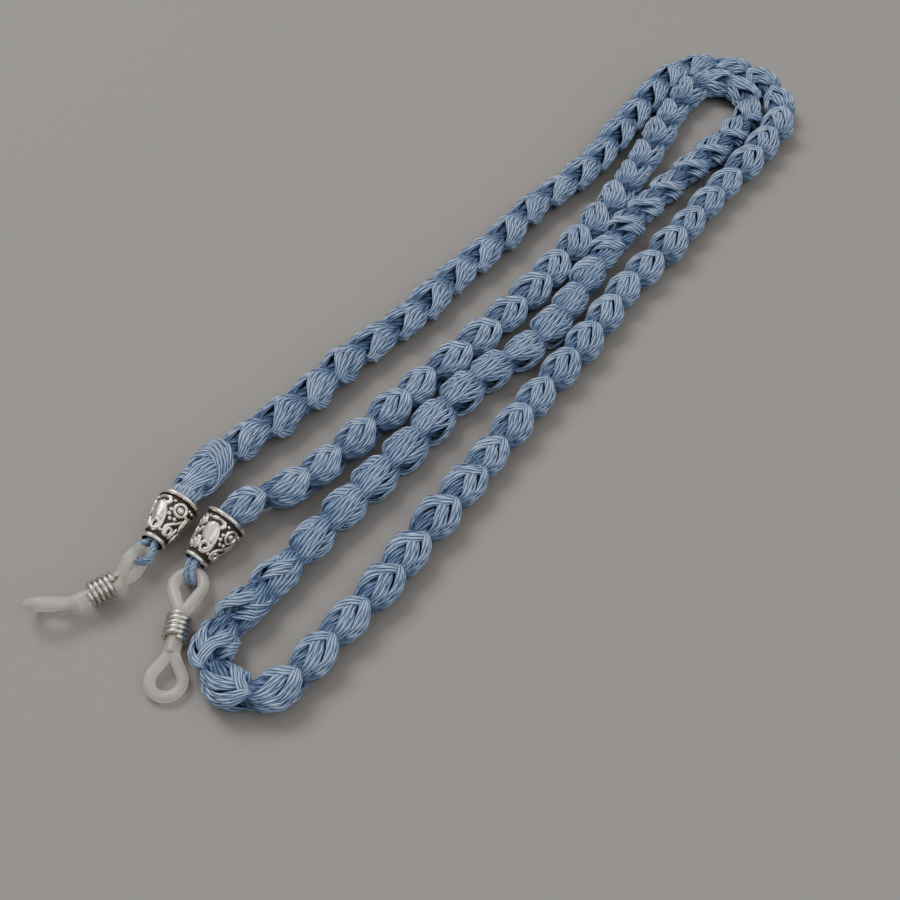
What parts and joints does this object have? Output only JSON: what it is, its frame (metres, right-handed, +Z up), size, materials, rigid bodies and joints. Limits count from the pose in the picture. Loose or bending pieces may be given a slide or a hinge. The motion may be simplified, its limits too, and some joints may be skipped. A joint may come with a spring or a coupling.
{
  "type": "eyeglass retainer strap",
  "caption": "Crocheted cotton retainer strap with metal cone beads and silicone temple holders held by wire coils, lying folded.",
  "frame": {"origin": "on the surface the strap lies on, under the middle of the box round the cone beads, temple holders and coils", "axes": "+Z up from the surface; +Y along the longer side of the fittings' box, from the temple loops to the beads"},
  "size_m": [0.1567, 0.1787, 0.0084],
  "materials": {
    "cotton_yarn": "light blue mercerised cotton, soft sheen",
    "antique_silver": "polished high relief over black patina",
    "clear_silicone": "milky translucent, smooth",
    "bright_wire": "bright nickel"
  },
  "bodies": {
    "cord": {"crochet_cord": "cotton_yarn", "stopper_knot_a": "cotton_yarn", "stopper_knot_b": "cotton_yarn", "yarn_tether_a": "cotton_yarn", "yarn_tether_b": "cotton_yarn"},
    "bead_a": {"cord_bead_a": "antique_silver"},
    "bead_b": {"cord_bead_b": "antique_silver"},
    "holder_a": {"temple_holder_a": "clear_silicone"},
    "holder_b": {"temple_holder_b": "clear_silicone"},
    "coil_a": {"wire_coil_a": "bright_wire"},
    "coil_b": {"wire_coil_b": "bright_wire"}
  },
  "joints": [
    {"name": "bead_a_spin", "type": "hinge", "parent": "cord", "child": "bead_a", "pos_m": [0.00198, 0.00978, 0.00386], "axis": [0.4175, 0.9078, 0.0401], "continuous": true},
    {"name": "bead_b_spin", "type": "hinge", "parent": "cord", "child": "bead_b", "pos_m": [0.00977, 0.00683, 0.00256], "axis": [0.5613, 0.8077, 0.1805], "continuous": true},
    {"name": "holder_a_swing", "type": "hinge", "parent": "cord", "child": "holder_a", "pos_m": [0.00066, 0.00766, 0.00386], "axis": [0, 0, 1], "range_deg": [-75, 40]},
    {"name": "holder_b_swing", "type": "hinge", "parent": "cord", "child": "holder_b", "pos_m": [0.00955, 0.00434, 0.00256], "axis": [-0.9962, 0.0872, 0], "range_deg": [-80, 95]},
    {"name": "coil_a_slide", "type": "slide", "parent": "holder_a", "child": "coil_a", "axis": [-0.8387, -0.5446, 0], "range_m": [-0.0004, 0.0018]},
    {"name": "coil_b_slide", "type": "slide", "parent": "holder_b", "child": "coil_b", "axis": [-0.0872, -0.9962, 0], "range_m": [-0.0004, 0.0018]}
  ]
}
